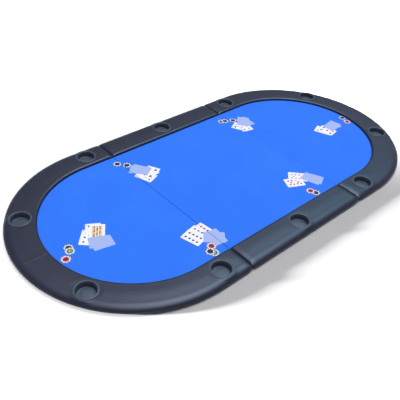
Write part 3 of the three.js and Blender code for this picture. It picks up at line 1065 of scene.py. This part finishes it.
def stitch(tip, y, start, end):
    """One stitch: a short thread that dips into the leatherette at both ends."""
    (u0, z0), (u1, z1) = start, end
    inset = STITCH_GAP / 2 / math.hypot(u1 - u0, z1 - z0)
    centres = []
    sinks = {inset: STITCH_DIP, 0.25: 0.0, 0.5: -STITCH_RISE, 0.75: 0.0, 1 - inset: STITCH_DIP}
    for k, sink in sinks.items():
        x, base_y, z = soften(tip.point(u0 + (u1 - u0) * k, z0 + (z1 - z0) * k), 1.0)
        centres.append(Vector((x, base_y + y, z - sink)))
    side = Vector((0, 1, 0))
    up = (centres[-1] - centres[0]).cross(side).normalized()
    points = []
    for centre in centres:
        for i in range(STITCH_SIDES):
            angle = -2 * math.pi * i / STITCH_SIDES
            points.append(centre + (side * math.cos(angle) + up * math.sin(angle)) * STITCH_RADIUS)
    firsts = range(0, len(points), STITCH_SIDES)
    return points, tube([list(range(first, first + STITCH_SIDES)) for first in firsts])


make_stitching()

# ---- printed cards and chips ----

CARD_SIZE = (63.0, 88.0)
CARD_CORNER = 4.0
PIP_PITCH = (14.0, 27.0)         # from a card's middle to its outer pips
FEW_PIPS = 5             # up to which a card has the larger pips
LARGE_PIP = 7.6
SMALL_PIP = 5.8
INDEX_PIP = 2.6
INDEX_PLACE = (-25.5, 37.0)       # top left, and turned round at bottom right
PANEL = (20.0, 33.0)     # half size of a picture card's frame
FRAME_SHARE = (0.9, 0.94)        # of the panel that its frame leaves
LOZENGE = 5.4
LOZENGE_PITCH = (11.5, 9.0)
CHIP_RADIUS = 20.0
CHIP_SPOTS = 8
SPOT_ANGLE = 12.0
PRINT_BOTTOM = FELT_TOP + 0.02
PRINT_THICKNESS = 0.05
PRINT_STEP = 0.002       # from one layer of ink to the next
PRINT_GAP = 0.9          # bare cloth left at a fold
PRINT_MARGIN = 1.5       # bare cloth left at the rail
SMALLEST_PRINT = 0.3     # area of the smallest scrap that is kept at a cut


def suit_outline(suit, size):
    """Outlines of a suit mark, as convex or simple polygons."""
    if suit == "diamond":
        return [[(0, -size), (0.72 * size, 0), (0, size), (-0.72 * size, 0)]]
    if suit == "heart":
        lobes = arc_points(0.45 * size, 0.35 * size, 0.5 * size, -20, 160, 8)
        lobes += arc_points(-0.45 * size, 0.35 * size, 0.5 * size, 20, 200, 8)
        return [[(0, -0.95 * size)] + lobes]
    stem = [(-0.3 * size, -0.95 * size), (0.3 * size, -0.95 * size), (0, -0.1 * size)]
    if suit == "spade":
        leaf = [(0, 0.95 * size)] + arc_points(-0.45 * size, -0.25 * size, 0.5 * size, 160, 340, 8)
        leaf += arc_points(0.45 * size, -0.25 * size, 0.5 * size, 200, 380, 8)
        return [leaf, stem]
    round_parts = [arc_points(x * size, y * size, 0.42 * size, 0, 345, 12)
                   for x, y in ((0, 0.5), (-0.42, -0.15), (0.42, -0.15))]
    return round_parts + [stem]


PIP_ROWS = {
    4: [(-1, -1), (1, -1), (-1, 1), (1, 1)],
    5: [(-1, -1), (1, -1), (0, 0), (-1, 1), (1, 1)],
    6: [(-1, -1), (1, -1), (-1, 0), (1, 0), (-1, 1), (1, 1)],
    8: [(-1, -1), (1, -1), (-1, -0.33), (1, -0.33), (-1, 0.33), (1, 0.33), (-1, 1), (1, 1)],
    10: [(x, y) for y in (-1, -0.33, 0.33, 1) for x in (-1, 1)] + [(0, -0.66), (0, 0.66)],
}


def card_outline():
    w, h, r = CARD_SIZE[0] / 2 - CARD_CORNER, CARD_SIZE[1] / 2 - CARD_CORNER, CARD_CORNER
    outline = []
    for x, y, start in ((w, h, 0), (-w, h, 90), (-w, -h, 180), (w, -h, 270)):
        outline += arc_points(x, y, r, start, start + 90, 4)
    return outline


def placed(outline, x, y, heading):
    """Turns an outline whose long side is along Y to a heading in degrees, and moves it."""
    turn = math.radians(heading - 90)
    c, s = math.cos(turn), math.sin(turn)
    return [(x + px * c - py * s, y + px * s + py * c) for px, py in outline]


def clip(outline, edge, keep):
    """Cuts an outline at the line x = edge and keeps the side where keep is +1 or -1."""
    kept = []
    for i, (x, y) in enumerate(outline):
        px, py = outline[i - 1]
        if (x - edge) * (px - edge) < 0:
            k = (edge - px) / (x - px)
            kept.append((edge, py + k * (y - py)))
        if (x - edge) * keep >= 0:
            kept.append((x, y))
    return kept


def within_rail(outline):
    """Pulls back the points that would lie under the rail."""
    kept = []
    limit = FELT_RADIUS - PRINT_MARGIN
    for x, y in outline:
        cx = max(-END_CENTRE_X, min(END_CENTRE_X, x))
        r = math.hypot(x - cx, y)
        k = min(1.0, limit / r) if r > 0 else 1.0
        kept.append((cx + (x - cx) * k, y * k))
    return kept


def outline_area(outline):
    pairs = zip(outline, outline[1:] + outline[:1])
    return abs(sum(x0 * y1 - x1 * y0 for (x0, y0), (x1, y1) in pairs)) / 2


class Prints:
    """The ink on the cloth, gathered for each section and cut at the folds. Each mark lies a little
    higher than the one that it covers."""

    def __init__(self):
        self.soups = {body: Soup() for body in ("left", "middle", "right")}
        self.level = 0

    def ink(self, outline, color):
        """Prints one outline, then goes up a level."""
        fold = FOLD_X - PRINT_GAP
        past = FOLD_X + PRINT_GAP
        parts = {
            "left": clip(outline, -past, -1),
            "middle": clip(clip(outline, -fold, 1), fold, -1),
            "right": clip(outline, past, 1),
        }
        bottom = PRINT_BOTTOM + PRINT_STEP * self.level
        for body, part in parts.items():
            part = within_rail(part)
            if len(part) > 2 and outline_area(part) > SMALLEST_PRINT:
                self.soups[body].add(*prism(part, bottom, bottom + PRINT_THICKNESS), color)
        self.level += 1

    def ink_level(self, marks):
        """Prints marks that don't cover each other, all at one level."""
        level = self.level
        for outline, color in marks:
            self.level = level
            self.ink(outline, color)
        self.level = level + 1

    def card_face(self, x, y, heading, suit, pips):
        self.ink(placed(card_outline(), x, y, heading), WHITE)
        size = LARGE_PIP if pips <= FEW_PIPS else SMALL_PIP
        spots = [(px * PIP_PITCH[0], py * PIP_PITCH[1], size) for px, py in PIP_ROWS[pips]]
        spots += [(corner * INDEX_PLACE[0], corner * INDEX_PLACE[1], INDEX_PIP) for corner in (-1, 1)]
        color = RED if suit in ("heart", "diamond") else BLACK
        self.ink_level([
            (placed([(sx + a, sy + b) for a, b in part], x, y, heading), color)
            for sx, sy, size in spots for part in suit_outline(suit, size)
        ])

    def picture_card(self, x, y, heading):
        """A framed panel of lozenges in place of a court figure."""
        self.ink(placed(card_outline(), x, y, heading), WHITE)
        w, h = PANEL
        panel = [(-w, -h), (w, -h), (w, h), (-w, h)]
        self.ink(placed(panel, x, y, heading), GOLD)
        inner = [(a * FRAME_SHARE[0], b * FRAME_SHARE[1]) for a, b in panel]
        self.ink(placed(inner, x, y, heading), CREAM)
        marks = []
        for row in range(-3, 4):
            for column in range(-1, 2):
                across, up = column * LOZENGE_PITCH[0], row * LOZENGE_PITCH[1]
                lozenge = [(across + a, up + b) for a, b in suit_outline("diamond", LOZENGE)[0]]
                marks.append((placed(lozenge, x, y, heading), (GOLD, RED, BLACK)[(row - column) % 3]))
        self.ink_level(marks)

    def card_back(self, x, y, heading):
        """A plain pale back."""
        self.ink(placed(card_outline(), x, y, heading), BACK)

    def disc(self, x, y, share, color, sides=36):
        self.ink(arc_points(x, y, share * CHIP_RADIUS, 0, 360 - 360 / sides, sides - 1), color)

    def chip(self, x, y, color, centre=BLACK):
        """A pale rim with coloured edge spots round a dark ring and a coloured middle."""
        outside, inside = 0.94, 0.76
        self.disc(x, y, 1.0, color)
        self.disc(x, y, outside, PALE)
        marks = []
        for i in range(CHIP_SPOTS):
            start = 7 * (x % 6) + 360 * i / CHIP_SPOTS
            end = start + SPOT_ANGLE
            spot = arc_points(x, y, outside * CHIP_RADIUS, start, end, 3)
            marks.append((spot + arc_points(x, y, inside * CHIP_RADIUS, end, start, 3), color))
        self.ink_level(marks)
        self.disc(x, y, 0.62, BLACK)
        self.disc(x, y, 0.52, color)
        self.disc(x, y, 0.28, centre, sides=18)


# Each hand lies in front of one seat. Places are in millimetres from the middle of the table, and
# headings are those of a card's long side, in degrees from +X.
def make_prints():
    prints = Prints()
    # left end
    prints.card_face(-745, -5, -133, "club", 6)
    prints.card_face(-707, 17, -120, "spade", 5)
    prints.picture_card(-698, 4, -125)
    prints.card_back(-722, -52, 155)
    prints.card_back(-718, -63, 168)
    prints.chip(-836, -8, BLACK)
    prints.chip(-841, -27, GREEN, GOLD)
    prints.chip(-876, -56, RED)
    # far side, left fold
    prints.card_face(-313, 188, -70, "club", 6)
    prints.picture_card(-292, 197, 8)
    prints.card_face(-279, 199, 26, "spade", 4)
    prints.card_back(-309, 244, -45)
    prints.card_back(-303, 242, -57)
    prints.chip(-363, 343, BLACK)
    prints.chip(-333, 308, BLACK)
    # near side, left fold
    prints.card_face(-357, -256, -82, "heart", 8)
    prints.card_face(-385, -254, -78, "club", 8)
    prints.card_face(-416, -260, -75, "spade", 8)
    prints.card_back(-348, -310, -40)
    prints.card_back(-343, -313, -98)
    prints.chip(-408, -376, GREEN, GOLD)
    prints.chip(-417, -361, BLACK)
    prints.chip(-392, -341, RED)
    # near side, right fold
    prints.card_face(206, -263, -25, "heart", 10)
    prints.card_face(252, -243, -46, "diamond", 10)
    prints.card_back(296, -293, -72)
    prints.card_back(303, -297, -62)
    prints.chip(224, -375, BLACK)
    prints.chip(215, -351, RED)
    # far side, right fold
    prints.card_face(357, 240, 118, "spade", 5)
    prints.card_face(375, 231, 75, "heart", 6)
    prints.card_back(408, 272, 45)
    prints.card_back(414, 263, -92)
    prints.chip(311, 340, BLACK)
    prints.chip(329, 333, BLACK)
    prints.chip(369, 314, BLACK)
    # right end
    prints.card_face(695, -50, -68, "diamond", 4)
    prints.card_face(712, -60, -80, "heart", 5)
    prints.card_back(772, -50, 178)
    prints.card_back(778, -45, -170)
    prints.chip(893, -27, BLACK)
    prints.chip(880, -70, RED)
    for body, soup in prints.soups.items():
        finish_piece(soup.build(f"{body}_cloth_print", INKS, smooth=False), body, "felt")


make_prints()

# ---- camera, light and floor ----

# The camera is fitted to the photo's outline. It and the lights are placed in metres.
CAMERA_PLACE = (-1.5472, -1.4254, 1.4946)
CAMERA_AZIMUTH = -44.646
CAMERA_ELEVATION = 38.317
CAMERA_ROLL = 4.622
FOCAL_LENGTH = 49.09


def make_camera():
    azimuth, elevation = math.radians(CAMERA_AZIMUTH), math.radians(CAMERA_ELEVATION)
    level = math.cos(elevation)
    back = Vector((math.sin(azimuth) * level, -math.cos(azimuth) * level, math.sin(elevation)))
    roll = Matrix.Rotation(math.radians(CAMERA_ROLL), 3, back)
    camera = bpy.data.objects.new("camera", bpy.data.cameras.new("camera"))
    camera.data.lens = FOCAL_LENGTH
    camera.data.clip_end = 50
    camera.rotation_mode = "QUATERNION"
    camera.rotation_quaternion = (roll @ back.to_track_quat("Z", "Y").to_matrix()).to_quaternion()
    camera.location = CAMERA_PLACE
    bpy.context.scene.collection.objects.link(camera)
    bpy.context.scene.camera = camera


FLOOR_REACH = 60000.0
BACKDROP_RADIUS = 55000.0
WORLD_COLOR = (0.86, 0.84, 1.0, 1)
WORLD_STRENGTH = 0.32
SHEEN_AIM = Vector((0, -0.2, 0))


def add_light(kind, name, place, towards, power, **settings):
    """A light that shines from the direction of its second vector."""
    data = bpy.data.lights.new(name, kind)
    data.energy = power
    for key, value in settings.items():
        setattr(data, key, value)
    light = bpy.data.objects.new(name, data)
    light.location = place
    light.rotation_mode = "QUATERNION"
    light.rotation_quaternion = Vector(towards).to_track_quat("Z", "Y")
    bpy.context.scene.collection.objects.link(light)
    return light


def soft_sun(name, source, spread, strength):
    """A distant soft box, in the direction of its source and as wide as its spread in degrees."""
    return add_light("SUN", name, (0, 0, 0), source, strength, angle=math.radians(spread))


def add_sheen(name, place, size, power, color):
    """A soft box that only shows as sheen on the leatherette and the cups."""
    place = Vector(place)
    light = add_light("AREA", name, place, place - SHEEN_AIM, power, shape="RECTANGLE", size=size[0],
                      size_y=size[1], color=color)
    light.visible_diffuse = False


def make_floor():
    r = FLOOR_REACH
    floor = add_mesh("floor", [(-r, -r, 0), (r, -r, 0), (r, r, 0), (-r, r, 0)], [[0, 1, 2, 3]])
    paper = Shader("floor_paper", (0.43, 0.43, 0.43), 0.9, Specular_IOR_Level=0.2)
    grain = paper.texture("Noise", 3, Detail=2.0)
    paper.color(grain, 0.2, 0.8, (0.425, 0.425, 0.425), (0.435, 0.435, 0.435))
    floor.data.materials.append(paper.material)
    return floor


def make_backdrop():
    """A white dome far away, which only the camera sees."""
    profile = arc_points(0, 0, BACKDROP_RADIUS, -6, 78, 7) + [(0, BACKDROP_RADIUS)]
    dome = turned("backdrop", profile, 48)
    white = Shader("backdrop_white", (0, 0, 0), 1.0, Specular_IOR_Level=0.0,
                   Emission_Color=(1, 1, 1, 1), Emission_Strength=1.05)
    dome.data.materials.append(white.material)
    dome.visible_diffuse = False
    dome.visible_glossy = False
    dome.visible_shadow = False


def make_studio():
    """Soft light from above for the part, and a low sun and a spot that only light the floor: they
    draw the shadow on the near side and fade it beyond the right end."""
    scene = bpy.context.scene
    scene.view_settings.view_transform = "Standard"
    scene.world = bpy.data.worlds.new("studio")
    scene.world.use_nodes = True
    background = scene.world.node_tree.nodes["Background"]
    background.inputs["Color"].default_value = WORLD_COLOR
    background.inputs["Strength"].default_value = WORLD_STRENGTH
    soft_sun("overhead", (0.25, 0.1, 1.0), 40, 2.65)
    add_sheen("right_sheen", (2.4, 0.4, 3.2), (1.5, 2.2), 46, (0.28, 0.78, 1.0))
    add_sheen("top_sheen", (0.7, 0.3, 3.2), (1.4, 1.0), 40, (0.85, 0.9, 1.0))
    low = soft_sun("low_side", (-0.80, 0.57, 0.128), 4.2, 32.0)
    wash = add_light("SPOT", "far_end_wash", (1.45, 0.3, 2.0), (0, 0, 1), 830, spot_blend=1.0,
                     spot_size=math.radians(66))
    floor_only = bpy.data.collections.new("floor_only")
    floor_only.objects.link(make_floor())
    for light in (low, wash):
        light.light_linking.receiver_collection = floor_only
    make_backdrop()


make_camera()
make_studio()
